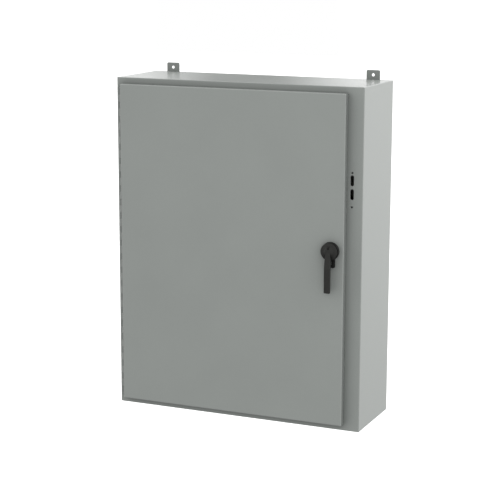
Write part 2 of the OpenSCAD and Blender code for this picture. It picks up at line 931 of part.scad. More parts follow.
module fuse_block() {
    color(dark_moulding) on_panel(250, -400) {
        plate_z(-50, -42, 50, 42, 0, 16, 4);
        for (x = [-32, 0, 32], y = [-26, 26]) {
            difference() {
                box([x - 9, y - 5, 15], [x + 9, y + 5, 34]);
                box([x - 7, y - 6, 19], [x + 7, y + 6, 35]);
            }
        }
    }
}

module fuses() {
    color([0.85, 0.82, 0.75]) on_panel(250, -400) for (x = [-32, 0, 32]) {
        rod_y(x, 26, -36, 36, 6.95);
    }
}

module din_rail() {
    wing = 17.5;
    inner = 12.5;
    color(zinc) on_panel(0, rail_z) translate([rail_x0, 0, 0]) rotate([90, 0, 90])
        linear_extrude(rail_x1 - rail_x0) polygon([
            [-inner, 0], [inner, 0], [inner, 6.5], [wing, 6.5], [wing, 7.5], [inner - 1, 7.5],
            [inner - 1, 1], [1 - inner, 1], [1 - inner, 7.5], [-wing, 7.5], [-wing, 6.5], [-inner, 6.5]]);
}

module terminal_blocks() {
    pitch = 8;
    color([0.6, 0.6, 0.58]) on_panel(0, rail_z) for (i = [0:11]) {
        x = rail_x0 + 20 + i * pitch;
        difference() {
            plate_x(-25, 7.5, 25, 48, x, x + pitch - 0.3, 3);
            for (y = [-17, 17]) {
                rod_z(x + pitch / 2 - 0.15, y, 40, 49, 2.4);
            }
        }
    }
}

module control_relays() {
    color([0.35, 0.42, 0.5]) on_panel(0, rail_z) for (i = [0:3]) {
        x = 80 + i * 34;
        plate_z(x, -30, x + 30, 30, 7.5, 30, 2);
        plate_z(x + 1.5, -16, x + 28.5, 16, 29, 72, 2);
    }
}

// Slotted trunking along X; the slots are on both long walls
module wire_duct() {
    wall = 2;
    half = duct_w / 2;
    slot_pitch = 20;
    color([0.8, 0.8, 0.79]) on_panel(0, duct_z) difference() {
        box([duct_x0, -half, 0], [duct_x1, half, duct_w]);
        box([duct_x0 + wall, wall - half, wall], [duct_x1 - wall, half - wall, duct_w - wall]);
        for (x = [duct_x0 + 10:slot_pitch:duct_x1 - 10]) {
            box([x - 4.5, -half - 1, 10], [x + 4.5, half + 1, duct_w - wall - 4]);
        }
    }
}

// Unit tangent of a route at point i
function unit(v) = v / norm(v);
function tangent(p, i) =
    i == 0 ? unit(p[1] - p[0])
    : i == len(p) - 1 ? unit(p[i] - p[i - 1])
    : unit(unit(p[i + 1] - p[i]) + unit(p[i] - p[i - 1]));

// Side vectors carried along a route without twist, from point i on
function carried(p, i, side) =
    let (t = tangent(p, i), s = unit(side - (side * t) * t))
    i == len(p) - 1 ? [s] : concat([s], carried(p, i + 1, s));

// Eight-sided tube along a route
module tube(p, r) {
    n = 8;
    t0 = tangent(p, 0);
    sides = carried(p, 0, cross(t0, abs(t0[1]) < 0.9 ? [0, 1, 0] : [1, 0, 0]));
    rings = [for (i = [0:len(p) - 1], k = [0:n - 1])
        let (t = tangent(p, i), a = 360 * k / n)
        p[i] + r * (cos(a) * sides[i] + sin(a) * cross(t, sides[i]))];
    walls = [for (i = [0:len(p) - 2], k = [0:n - 1]) let (m = (k + 1) % n)
        [i * n + k, (i + 1) * n + k, (i + 1) * n + m, i * n + m]];
    last = (len(p) - 1) * n;
    polyhedron(points = rings, faces = concat(walls, [[for (k = [0:n - 1]) k]],
                                              [[for (k = [n - 1:-1:0]) last + k]]));
}

// Route with its inner corners eased by a chamfer of about 10 mm
function eased(p) = concat([p[0]],
    [for (i = [1:len(p) - 2]) each [p[i] + 10 * unit(p[i - 1] - p[i]), p[i] + 10 * unit(p[i + 1] - p[i])]],
    [p[len(p) - 1]]);

in_duct = panel_front - 22;
routes = [
    [[-210, in_duct, -250], [-210, in_duct, -175], [-170, in_duct, -165]],
    [[-250, in_duct, -170], [-250, in_duct, -130], [-247, in_duct, -60], [-247, in_duct, 112]],
    [[170, in_duct, -170], [170, in_duct, -120], [172, -91, -60], [172, -91, 25], [151, -91, 25]],
    [[90, -60, -360], [90, -60, -330], [230, -60, -318], [230, in_duct, -270], [230, in_duct, -170]],
    [[250, -40, -358], [250, -40, -330], [270, in_duct, -300], [270, in_duct, -175], [240, in_duct, -165]],
    [[-310, in_duct, -170], [-310, in_duct, 420], [-210, -66, 430], [-210, -66, 460]]
];

module wiring_harness() {
    color([0.15, 0.15, 0.15]) for (p = routes) {
        tube(eased(p), wire_r);
    }
}

module ground_bar() {
    color(copper) on_panel(-30, -520) difference() {
        union() {
            box([-120, -11, 14], [120, 11, 22]);
            for (x = [-105, 105]) {
                rod_z(x, 0, 0, 15, 8);
            }
        }
        for (x = [-84:24:84]) {
            rod_z(x, 0, 13, 23, 3.3);
        }
    }
}

module neutral_bar() {
    color(aluminium) on_panel(-70, 480) difference() {
        union() {
            box([-160, -20, 34], [160, 20, 44]);
            for (x = [-130, 130]) {
                rod_z(x, 0, 0, 35, 14);
            }
        }
        for (x = [-100:40:100]) {
            rod_z(x, 0, 33, 45, 6.5);
        }
    }
}

enclosure_body();
mounting_feet();
back_panel();
panel_nuts();
hinge_body_leaf();
hinge_pin();
switch_base();
normal_terminals();
emergency_terminals();
load_terminals();
cable_lugs();
lug_screws();
arc_chutes();
arc_splitters();
shaft_side_plates();
solenoid_frame();
solenoid_coil();
position_sensors();
contact_shaft();
contact_carriers();
moving_contacts();
shaft_crank();
manual_handle();
position_flag();
solenoid_plunger();
controller_case();
controller_cover();
controller_board();
controller_windows();
test_button();
reset_button();
transformer_core();
transformer_coil();
fuse_block();
fuses();
din_rail();
terminal_blocks();
control_relays();
wire_duct();
wiring_harness();
ground_bar();
neutral_bar();
dead_front_shield();
shield_standoffs();
door_panel();
door_gasket();
hinge_door_leaf();
rod_guides();
document_pocket();
handle_base();
handle_seal();
handle_nut();
handle_lever();
handle_shaft();
latch_cam();
key_plug();
upper_latch_rod();
lower_latch_rod();
upper_roller();
lower_roller();
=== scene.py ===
import json
import math

import bmesh
import bpy
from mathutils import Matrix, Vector


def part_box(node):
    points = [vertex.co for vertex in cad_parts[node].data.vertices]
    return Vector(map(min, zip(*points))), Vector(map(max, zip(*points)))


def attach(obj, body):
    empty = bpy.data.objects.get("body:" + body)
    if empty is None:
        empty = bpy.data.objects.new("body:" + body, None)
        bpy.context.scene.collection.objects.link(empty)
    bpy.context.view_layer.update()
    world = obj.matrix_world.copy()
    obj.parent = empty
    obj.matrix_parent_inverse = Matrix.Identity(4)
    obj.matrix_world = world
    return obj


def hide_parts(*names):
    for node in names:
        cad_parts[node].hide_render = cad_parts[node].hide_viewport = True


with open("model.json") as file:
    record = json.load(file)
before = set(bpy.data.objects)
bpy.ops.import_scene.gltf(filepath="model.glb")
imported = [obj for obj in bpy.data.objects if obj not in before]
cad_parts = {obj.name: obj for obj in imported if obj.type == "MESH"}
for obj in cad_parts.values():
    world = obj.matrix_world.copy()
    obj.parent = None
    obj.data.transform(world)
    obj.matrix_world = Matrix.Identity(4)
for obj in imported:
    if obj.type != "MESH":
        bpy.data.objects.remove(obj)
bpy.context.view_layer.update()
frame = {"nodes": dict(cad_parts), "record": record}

MM = 0.001


# ---------------------------------------------------------------- materials

class Paint:
    """A Principled material whose colour, roughness and bump are built from object-space noise."""

    def __init__(self, name, metallic=0.0, **fixed):
        self.material = bpy.data.materials.new(name)
        self.material.use_nodes = True
        self.tree = self.material.node_tree
        self.shader = self.tree.nodes["Principled BSDF"]
        self.shader.inputs["Metallic"].default_value = metallic
        for key, value in fixed.items():
            self.shader.inputs[key.replace("_", " ")].default_value = value
        self.place = self.add("ShaderNodeTexCoord").outputs["Object"]
        self.normal = None

    def add(self, kind, **inputs):
        node = self.tree.nodes.new(kind)
        for key, value in inputs.items():
            self.feed(node, key, value)
        return node

    def feed(self, node, key, value):
        socket = node.inputs[key if isinstance(key, int) else key.replace("_", " ")]
        if isinstance(value, bpy.types.NodeSocket):
            self.tree.links.new(value, socket)
        else:
            socket.default_value = value

    def stretched(self, stretch):
        node = self.add("ShaderNodeMapping", Vector=self.place)
        node.inputs["Scale"].default_value = stretch
        return node.outputs["Vector"]

    def noise(self, scale, detail=4.0, rough=0.55, stretch=None):
        where = self.stretched(stretch) if stretch else self.place
        node = self.add("ShaderNodeTexNoise", Vector=where, Scale=scale, Detail=detail, Roughness=rough)
        return node.outputs["Fac"]

    def cells(self, scale, out="Distance"):
        return self.add("ShaderNodeTexVoronoi", Vector=self.place, Scale=scale).outputs[out]

    def bands(self, scale, direction, distortion):
        node = self.add("ShaderNodeTexWave", Vector=self.place, Scale=scale, Distortion=distortion)
        node.bands_direction = direction
        return node.outputs["Fac"]

    def sums(self, operation, *values):
        node = self.tree.nodes.new("ShaderNodeMath")
        node.operation = operation
        for i, value in enumerate(values):
            self.feed(node, i, value)
        return node.outputs[0]

    def spread(self, value, low, high, to_low=0.0, to_high=1.0):
        node = self.add("ShaderNodeMapRange", Value=value, From_Min=low, From_Max=high,
                        To_Min=to_low, To_Max=to_high)
        return node.outputs["Result"]

    def blend(self, factor, a, b):
        """Mix of two colours; a Mix node keeps its colour sockets at 6, 7 and output 2."""
        node = self.tree.nodes.new("ShaderNodeMix")
        node.data_type = "RGBA"
        self.feed(node, 0, factor)
        for index, value in ((6, a), (7, b)):
            self.feed(node, index, value if isinstance(value, bpy.types.NodeSocket) else (*value, 1.0))
        return node.outputs[2]

    def bump(self, height, depth, strength=1.0):
        node = self.add("ShaderNodeBump", Height=height, Distance=depth, Strength=strength)
        if self.normal is not None:
            self.feed(node, "Normal", self.normal)
        self.normal = node.outputs["Normal"]

    def rounded(self, radius):
        """Softens edges in the shading by this radius, in metres, and returns a mask of those edges.

        The mask is 0 where the softened normal is within 6 degrees of the true one, 1 from 37 degrees.
        """
        node = self.tree.nodes.new("ShaderNodeBevel")
        node.samples = 4
        node.inputs["Radius"].default_value = radius
        self.normal = node.outputs["Normal"]
        true = self.add("ShaderNodeNewGeometry").outputs["Normal"]
        dot = self.tree.nodes.new("ShaderNodeVectorMath")
        dot.operation = "DOT_PRODUCT"
        self.feed(dot, 0, self.normal)
        self.feed(dot, 1, true)
        return self.spread(dot.outputs["Value"], 0.995, 0.8)

    def finish(self, colour, roughness):
        self.feed(self.shader, "Base Color", colour)
        self.feed(self.shader, "Roughness", roughness)
        if self.normal is not None:
            self.feed(self.shader, "Normal", self.normal)
        return self.material


def shade(colour, k):
    return tuple(max(0.0, min(1.0, c * k)) for c in colour)


def coated(name, colour, rough=0.4, peel=420.0, peel_depth=0.00003, vary=0.06, edge_wear_and_highlight=None, edge=0.0006,
           painted_shade=None, **fixed):
    """Paint or powder coat: orange peel, faint blotches and edges lighter from wear and a painted
    highlight.

    Painted shade, from ambient occlusion, is how far it reaches out of a recess, in metres, and its share
    of the colour there.
    """
    p = Paint(name, **fixed)
    rim = p.rounded(edge)
    blotch = p.noise(5.0, 5.0)
    fine = p.noise(160.0, 3.0)
    tone = p.sums("ADD", p.sums("MULTIPLY", blotch, 0.7), p.sums("MULTIPLY", fine, 0.3))
    base = p.blend(p.spread(tone, 0.35, 0.65), shade(colour, 1 - vary), shade(colour, 1 + vary))
    # Edges are recoloured: partly wear, partly a painted highlight.
    edge_wear_and_highlight_mask = p.sums("MULTIPLY", rim, p.spread(p.noise(55.0, 4.0), 0.36, 0.56, 0.6, 1.0))
    base = p.blend(p.sums("MULTIPLY", edge_wear_and_highlight_mask, 0.85), base, edge_wear_and_highlight or shade(colour, 1.5))
    # Painted shade: ambient occlusion darkens the colour in recesses and beside raised parts.
    if painted_shade:
        reach, share = painted_shade
        open_sky = p.add("ShaderNodeAmbientOcclusion", Distance=reach)
        open_sky.samples = 8
        painted_shade_share = p.spread(open_sky.outputs["AO"], 0.72, 1.0, share, 0.0)
        base = p.blend(painted_shade_share, base, shade(colour, 0.35))
    p.bump(p.noise(peel, 2.0), peel_depth)
    p.bump(p.noise(peel * 4, 2.0), peel_depth * 0.2)
    rough_out = p.spread(p.sums("ADD", fine, blotch), 0.7, 1.3, rough - 0.05, rough + 0.05)
    return p.finish(base, rough_out)


def metal(name, colour, rough, stretch, tarnish=None, amount=0.25, spangle=0.0):
    """Bare or plated metal: brushing along one axis, stains and bright edges."""
    p = Paint(name, metallic=1.0)
    rim = p.rounded(0.0004)
    brush = p.noise(90.0, 5.0, 0.7, stretch)
    stain = p.noise(22.0, 6.0, 0.6)
    base = p.blend(p.spread(brush, 0.3, 0.7), shade(colour, 0.9), shade(colour, 1.07))
    stained = p.sums("MULTIPLY", p.spread(stain, 0.45, 0.7), amount)
    base = p.blend(stained, base, tarnish or shade(colour, 0.55))
    if spangle:
        flake = p.cells(260.0, out="Color")
        grey = p.add("ShaderNodeRGBToBW", Color=flake).outputs[0]
        base = p.blend(p.sums("MULTIPLY", grey, spangle), base, shade(colour, 0.72))
    base = p.blend(p.sums("MULTIPLY", rim, 0.6), base, shade(colour, 1.2))
    p.bump(brush, 0.00002, 0.6)
    p.bump(stain, 0.00003, 0.3)
    rough_out = p.spread(p.sums("ADD", brush, stain), 0.7, 1.35, rough - 0.08, rough + 0.12)
    return p.finish(base, rough_out)


def moulded(name, colour, rough, grain=900.0, vary=0.08, fleck=0.0):
    """Moulded plastic: spark-eroded grain, slight flow marks and polished edges."""
    p = Paint(name)
    rim = p.rounded(0.0005)
    flow = p.noise(14.0, 5.0, 0.6, (1, 1, 2.5))
    base = p.blend(p.spread(flow, 0.35, 0.65), shade(colour, 1 - vary), shade(colour, 1 + vary))
    if fleck:
        dots = p.spread(p.cells(700.0), 0.12, 0.02)
        base = p.blend(p.sums("MULTIPLY", dots, fleck), base, shade(colour, 3.0))
    base = p.blend(p.sums("MULTIPLY", rim, 0.35), base, shade(colour, 1.45))
    texture = p.noise(grain, 3.0)
    p.bump(texture, 0.00003)
    p.bump(flow, 0.0002, 0.15)
    rough_out = p.spread(texture, 0.3, 0.7, rough - 0.05, rough + 0.07)
    return p.finish(base, p.sums("SUBTRACT", rough_out, p.sums("MULTIPLY", rim, 0.12)))


def rubbery(name, colour):
    """Foam or rubber: pores, bloom and a dull skin."""
    p = Paint(name)
    p.rounded(0.0005)
    bloom = p.noise(30.0, 6.0)
    base = p.blend(p.spread(bloom, 0.4, 0.75), colour, shade(colour, 1.9))
    p.bump(p.cells(1400.0), 0.0001, 0.5)
    p.bump(bloom, 0.0002, 0.2)
    return p.finish(base, p.spread(bloom, 0.3, 0.7, 0.74, 0.88))


def wound(name, colour):
    """Turns of varnished wire that run round the upright axis, about one a millimetre."""
    p = Paint(name)
    turns = p.bands(312.5, "Z", distortion=0.4)
    soak = p.noise(40.0, 5.0)
    base = p.blend(turns, shade(colour, 0.35), shade(colour, 1.15))
    base = p.blend(p.spread(soak, 0.5, 0.75, 0.0, 0.5), base, shade(colour, 0.5))
    p.bump(turns, 0.0005, 0.8)
    return p.finish(base, p.spread(soak, 0.3, 0.7, 0.27, 0.5))


def clear(name, tint, see_through):
    """Clear sheet with faint scuffs."""
    p = Paint(name, Transmission_Weight=see_through, IOR=1.49)
    scuff = p.noise(30.0, 6.0, 0.7, (1, 1, 4))
    p.bump(p.noise(9.0, 2.0), 0.0004, 0.1)
    base = p.blend(p.spread(scuff, 0.4, 0.7), tint, shade(tint, 0.93))
    return p.finish(base, p.spread(scuff, 0.45, 0.75, 0.04, 0.16))


GREY = (0.314, 0.335, 0.319)


# Grey powder coat: its broad, much lighter edge colour is a painted highlight, and ambient occlusion
# paints shade into its recesses.
def powder_coat(name, painted_shade):
    return coated(name, GREY, 0.34, vary=0.02, edge_wear_and_highlight=(0.72, 0.74, 0.725), edge=0.0024, painted_shade=painted_shade,
                  Coat_Weight=0.35, Coat_Roughness=0.14)


MATERIALS = {
    "box_paint": powder_coat("grey_powder_coat", painted_shade=(0.28, 0.34)),
    "panel_paint": coated("white_enamel", (0.72, 0.72, 0.69), 0.3, peel=300.0, vary=0.03,
                          edge_wear_and_highlight=(0.55, 0.55, 0.53)),
    # The black casting's painted shade darkens the sides of the handle disc next to the door.
    "black_finish": coated("black_satin_casting", (0.031, 0.0315, 0.0295), 0.5, peel=700.0,
                           peel_depth=0.00005, vary=0.12, edge_wear_and_highlight=(0.07, 0.07, 0.067), edge=0.0008,
                           painted_shade=(0.035, 0.9), Specular_IOR_Level=0.18),
    "zinc_plate": metal("zinc_plate", (0.62, 0.63, 0.63), 0.34, (1, 1, 14), spangle=0.18),
    "copper_bar": metal("bare_copper", (0.62, 0.29, 0.165), 0.3, (1, 1, 0.06), (0.26, 0.11, 0.055), 0.5),
    "aluminium_lug": metal("tinned_aluminium", (0.72, 0.73, 0.74), 0.38, (1, 1, 1), amount=0.2),
    "switch_moulding": moulded("switch_moulding", (0.028, 0.029, 0.032), 0.5, fleck=0.3),
    "brown_moulding": moulded("phenolic_moulding", (0.075, 0.03, 0.017), 0.42, fleck=0.45, vary=0.2),
    "black_rubber": rubbery("black_rubber", (0.02, 0.02, 0.021)),
    "coil_wrap": wound("varnished_winding", (0.42, 0.14, 0.04)),
    "sensor_plastic": moulded("sensor_moulding", (0.02, 0.02, 0.024), 0.38),
    "flag_yellow": moulded("flag_yellow", (0.72, 0.42, 0.02), 0.36),
    "case_plastic": moulded("case_moulding", (0.055, 0.058, 0.065), 0.48),
    "cover_plastic": moulded("cover_moulding", (0.5, 0.51, 0.52), 0.42, vary=0.03),
    "circuit_board": coated("solder_mask", (0.012, 0.09, 0.035), 0.25, peel=900.0, vary=0.2),
    "clear_window": clear("tinted_window", (0.72, 0.86, 0.84), 0.9),
    "green_button": moulded("green_button", (0.015, 0.2, 0.05), 0.28),
    "red_button": moulded("red_button", (0.42, 0.018, 0.014), 0.28),
    "core_steel": metal("varnished_laminations", (0.16, 0.165, 0.17), 0.42, (1, 40, 1), amount=0.5),
    "fuse_paper": moulded("fibre_tube", (0.66, 0.6, 0.46), 0.6, grain=300.0, vary=0.06),
    "terminal_plastic": moulded("terminal_moulding", (0.36, 0.36, 0.33), 0.45, vary=0.05),
    "relay_plastic": moulded("relay_moulding", (0.05, 0.09, 0.15), 0.22),
    "duct_plastic": moulded("duct_vinyl", (0.5, 0.5, 0.475), 0.42, vary=0.04),
    "wire_jacket": moulded("wire_jacket", (0.014, 0.014, 0.015), 0.4),
    "clear_shield": clear("clear_polycarbonate", (0.93, 0.96, 0.97), 0.97),
    "pocket_plastic": moulded("pocket_moulding", (0.026, 0.027, 0.03), 0.5),
    "roller_nylon": moulded("nylon", (0.7, 0.67, 0.58), 0.4),
}

# The shell gets more painted shade beside the door, and the fixed hinge leaf is a darker copy of the grey
# paint: painted shade for its shadowed knuckles.
OWN_PAINT = {
    "enclosure_body": powder_coat("grey_powder_coat_shell", painted_shade=(0.3, 0.5)),
    "hinge_body_leaf": coated("grey_powder_coat_hinge_painted_shade", shade(GREY, 0.68), 0.4, vary=0.05,
                              edge_wear_and_highlight=shade(GREY, 0.85)),
}

slot_of = {part["node"]: part["material_slot"] for part in frame["record"]["subparts"]}
for name, node in frame["nodes"].items():
    paint = OWN_PAINT.get(name) or MATERIALS[slot_of[name]]
    for holder in node.material_slots:
        holder.material = paint


# ---------------------------------------------------------------- places

def middle(node, axis):
    low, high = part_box(node)
    return (low[axis] + high[axis]) / 2


DOOR_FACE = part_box("door_panel")[0][1]
PANEL_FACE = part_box("back_panel")[0][1]
RAIL_Z = middle("din_rail", 2)
HANDLE_X, HANDLE_Z = middle("handle_seal", 0), middle("handle_seal", 2)


def at_handle(x, y, z):
    """Millimetres from the handle axis: right, up, out of the door face."""
    return Vector((HANDLE_X + x * MM, DOOR_FACE - z * MM, HANDLE_Z + y * MM))


def on_panel(centre_x, centre_z):
    """Frame on the back panel, in millimetres: right, up, out of the panel."""
    def place(x, y, z):
        return Vector((centre_x + x * MM, PANEL_FACE - z * MM, centre_z + y * MM))
    return place


def on_node(node):
    return on_panel(middle(node, 0), middle(node, 2))


def out_of_panel(node):
    """Height of a node's middle over the back panel, in millimetres."""
    return (PANEL_FACE - middle(node, 1)) / MM


# ---------------------------------------------------------------- shapes

HEAD_SIDES = 24


def circle(radius, count):
    turns = [2 * math.pi * i / count for i in range(count)]
    return [(radius * math.cos(turn), radius * math.sin(turn)) for turn in turns]


def hexagon(radius, count):
    """Points spread round a hexagon's sides."""
    points = []
    for i in range(count):
        turn = 2 * math.pi * i / count
        side = (turn + math.pi / 6) % (math.pi / 3) - math.pi / 6
        reach = radius * math.cos(math.pi / 6) / math.cos(side)
        points.append((reach * math.cos(turn), reach * math.sin(turn)))
    return points


def rounded(x0, y0, x1, y1, r, steps=6):
    """Rectangle with round corners of radius r."""
    corners = ((x1 - r, y1 - r, 0), (x0 + r, y1 - r, 90), (x0 + r, y0 + r, 180), (x1 - r, y0 + r, 270))
    points = []
    for cx, cy, start in corners:
        for i in range(steps + 1):
            a = math.radians(start + 90 * i / steps)
            points.append((cx + r * math.cos(a), cy + r * math.sin(a)))
    return points


def carried_frames(path):
    """Each point of a path with its direction and two sides, carried along without twist."""
    side = None
    for i, point in enumerate(path):
        ahead = (path[min(i + 1, len(path) - 1)] - path[max(i - 1, 0)]).normalized()
        if side is None:
            side = ahead.orthogonal().normalized()
        side = (side - ahead * side.dot(ahead)).normalized()
        yield point, ahead, side, ahead.cross(side)


class Solid:
    """Closed skins gathered into one mesh; points are in the millimetres of a place function."""

    def __init__(self, place=lambda x, y, z: Vector((x * MM, y * MM, z * MM))):
        self.place = place
        self.verts = []
        self.faces = []

    def loft(self, rings, loop=False):
        """Skin over rings of points, capped at both ends or joined into a loop."""
        start = len(self.verts)
        count = len(rings[0])
        for ring in rings:
            self.verts += [self.place(*point) for point in ring]
        for i in range(len(rings) if loop else len(rings) - 1):
            a = start + i * count
            b = start + (i + 1) % len(rings) * count
            for k in range(count):
                m = (k + 1) % count
                self.faces.append((a + k, a + m, b + m, b + k))
        if not loop:
            self.faces.append(tuple(start + k for k in reversed(range(count))))
            self.faces.append(tuple(start + (len(rings) - 1) * count + k for k in range(count)))

    def stack(self, layers):
        """Layers of an outline in x and y, each at its own z."""
        self.loft([[(x, y, z) for x, y in outline] for outline, z in layers])

    def block(self, low, high, corner, edge, steps=4):
        """Upright block with round corners and softened top and bottom edges."""
        (x0, y0, z0), (x1, y1, z1) = low, high
        full = rounded(x0, y0, x1, y1, corner, steps)
        inner = rounded(x0 + edge, y0 + edge, x1 - edge, y1 - edge, max(corner - edge, 0.05), steps)
        self.stack([(inner, z0), (full, z0 + edge), (full, z1 - edge), (inner, z1)])

    def turned(self, profile, axis, cx, cy, count=32, loop=False):
        """Profile of (radius, distance) turned about an axis: 0, 1 or 2 for x, y or z."""
        rings = []
        for radius, along in profile:
            ring = []
            for a, b in circle(radius, count):
                point = [cx + a, cy + b]
                point.insert(axis, along)
                ring.append(tuple(point))
            rings.append(ring)
        self.loft(rings, loop)

    def screw(self, x, y, z, radius, height):
        """Button head with a hexagon socket, standing on z."""
        full, shoulder, crown = (circle(radius * k, HEAD_SIDES) for k in (1.0, 0.86, 0.62))
        mouth, floor = (hexagon(radius * k, HEAD_SIDES) for k in (0.46, 0.44))
        layers = [(full, z), (full, z + 0.35 * height), (shoulder, z + 0.8 * height), (crown, z + height),
                  (mouth, z + height), (floor, z + 0.4 * height)]
        self.stack([([(x + a, y + b) for a, b in outline], level) for outline, level in layers])

    def tube(self, path, radius, sides=8):
        """Round tube along a path of vectors."""
        self.loft([[tuple(point + side * a + other * b) for a, b in circle(radius, sides)]
                   for point, _, side, other in carried_frames(path)])

    def mesh(self, name):
        mesh = bpy.data.meshes.new(name)
        mesh.from_pydata([tuple(v) for v in self.verts], [], self.faces)
        mesh.validate()
        work = bmesh.new()
        work.from_mesh(mesh)
        bmesh.ops.recalc_face_normals(work, faces=work.faces)
        work.to_mesh(mesh)
        work.free()
        return mesh


def add_piece(name, mesh, body, slot, *stands_for, crease=35.0):
    """Puts a mesh in the scene, riding on a body; edges sharper than crease, in degrees, stay sharp."""
    mesh.shade_smooth()
    mesh.set_sharp_from_angle(angle=math.radians(crease))
    mesh.materials.clear()
    mesh.materials.append(MATERIALS[slot])
    piece = bpy.data.objects.new(name, mesh)
    bpy.context.scene.collection.objects.link(piece)
    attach(piece, body)
    if stands_for:
        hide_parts(*stands_for)


def carved(name, base, *steps):
    """Mesh of base after boolean steps of (operation, mesh)."""
    holders = [bpy.data.objects.new(name + "_work", base)]
    bpy.context.scene.collection.objects.link(holders[0])
    for operation, tool in steps:
        holder = bpy.data.objects.new(name + "_tool", tool)
        bpy.context.scene.collection.objects.link(holder)
        holders.append(holder)
        cut = holders[0].modifiers.new(operation, "BOOLEAN")
        cut.operation = operation
        cut.solver = "EXACT"
        cut.object = holder
    bpy.context.view_layer.update()
    seen = holders[0].evaluated_get(bpy.context.evaluated_depsgraph_get())
    result = bpy.data.meshes.new_from_object(seen)
    for holder in holders:
        bpy.data.objects.remove(holder)
    result.name = name
    return result


# ---------------------------------------------------------------- handle

KEY_HEIGHT = 14.0


def handle_casting():
    """Turning disc with an undercut rim, the cranked drop lever and the bore of the key."""
    disc = Solid(at_handle)
    disc.turned([(8.2, 18.6), (8.2, 11.3), (26.6, 11.3), (27.0, 12.2), (29.8, 18.8), (30.5, 19.6),
                 (30.5, 21.0), (30.1, 21.9), (29.2, 22.5), (27.4, 22.9), (22.0, 23.8), (17.5, 25.2),
                 (14.0, 27.6), (11.5, 29.2), (8.0, 30.1), (0.4, 30.4)],
                2, 0.0, 0.0, 96)
    # Stations of the lever: height, distance out at mid thickness, width, thickness
    stations = [(4, 22.5, 14, 10), (-3, 25.0, 15.5, 11), (-10, 26.2, 17.5, 12), (-26, 28.6, 21, 12),
                (-44, 31.2, 22, 12), (-58, 33.2, 22, 12), (-62, 33.2, 22, 12), (-137, 33.2, 22, 12),
                (-142.8, 33.2, 21.6, 11.6), (-144, 33.2, 19.5, 9.5)]
    straight_from, corner_steps = 6, 14
    rings = []
    for i, (y, z, width, thick) in enumerate(stations):
        before, after = stations[max(i - 1, 0)], stations[min(i + 1, len(stations) - 1)]
        run, rise = after[0] - before[0], after[1] - before[1]
        if i >= straight_from:
            run, rise = -1.0, 0.0
        length = math.hypot(run, rise)
        up, out = rise / length, -run / length
        outline = rounded(-width / 2, -thick / 2, width / 2, thick / 2, 2.6, corner_steps)
        rings.append([(u, y + v * up, z + v * out) for u, v in outline])
    lever = Solid(at_handle)
    lever.loft(rings)
    bore = Solid(at_handle)
    bore.turned([(4.55, 16.0), (4.55, 27.5), (5.2, 28.4), (5.2, 40.0)], 2, 0.0, KEY_HEIGHT)
    mesh = carved("handle_casting", disc.mesh("disc"),
                  ("UNION", lever.mesh("lever")), ("DIFFERENCE", bore.mesh("bore")))
    # A step round the disc turns 3.75 degrees and one round a lever corner 6.4: both stay smooth.
    add_piece("handle_casting", mesh, "handle", "black_finish", "handle_lever", crease=7.6)


handle_casting()


# ---------------------------------------------------------------- door seal

def door_seal():
    """Foam strip with a domed face, run round the door in one closed loop."""
    low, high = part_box("door_gasket")
    x0, z0, x1, z1 = low[0] / MM, low[2] / MM, high[0] / MM, high[2] / MM
    back, front = low[1] / MM, high[1] / MM
    width, corner, steps = 12.0, 14.0, 5
    dome = [(0.0, front - 3.4), (0.5, front - 1.7), (1.9, front - 0.5), (3.8, front)]
    section = [(0.0, back), (width, back)]
    section += [(width - inset, y) for inset, y in dome] + dome[::-1]
    rings = []
    for k, (sx, sz) in enumerate(((1, 1), (-1, 1), (-1, -1), (1, -1))):
        for i in range(steps + 1):
            a = math.radians(90 * k + 90 * i / steps)
            ring = []
            for inset, y in section:
                radius = corner - inset
                cx = (x1 if sx > 0 else x0) - sx * corner
                cz = (z1 if sz > 0 else z0) - sz * corner
                ring.append((cx + radius * math.cos(a), y, cz + radius * math.sin(a)))
            rings.append(ring)
    seal = Solid()
    seal.loft(rings, loop=True)
    add_piece("door_seal_foam", seal.mesh("door_seal_foam"), "door", "black_rubber", "door_gasket")


door_seal()


# ---------------------------------------------------------------- windings

WIRE = 1.05
TURN_STEPS = 36


def solenoid_winding():
    """Flanged bobbin and the wire wound on it, round the upright bore of the plunger."""
    place = on_node("solenoid_coil")
    low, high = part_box("solenoid_coil")
    half = (high[2] - low[2]) / MM / 2
    out = out_of_panel("solenoid_coil")
    bobbin = Solid(place)
    # Radii of the bore, the tube and the flanges; thickness of a flange and bevel of its edges
    bore, tube, flange, thick, bevel = 14.6, 17.0, 34.0, 4.0, 0.8
    upper = [(tube, half - thick), (flange - bevel, half - thick), (flange, half - thick + bevel),
             (flange, half - bevel), (flange - bevel, half), (bore, half)]
    section = [(radius, -along) for radius, along in reversed(upper)] + upper
    bobbin.turned(section, 1, 0.0, out, 64, loop=True)
    add_piece("solenoid_bobbin", bobbin.mesh("solenoid_bobbin"), "enclosure", "switch_moulding",
              "solenoid_coil")
    reach, end = 29.0, half - thick - 0.2
    turns = int(2 * end / (2 * WIRE))
    path = []
    for i in range(turns * TURN_STEPS + 1):
        a = 2 * math.pi * i / TURN_STEPS
        y = -end + WIRE + 2 * WIRE * i / TURN_STEPS
        path.append(Vector((reach * math.cos(a), y, out + reach * math.sin(a))))
    winding = Solid(place)
    winding.tube(path, WIRE, 6)
    winding.turned([(tube + 0.3, -end), (reach - 0.2, -end), (reach - 0.2, end), (tube + 0.3, end)],
                   1, 0.0, out, 48, loop=True)
    add_piece("solenoid_winding", winding.mesh("solenoid_winding"), "enclosure", "coil_wrap",
              "solenoid_coil")


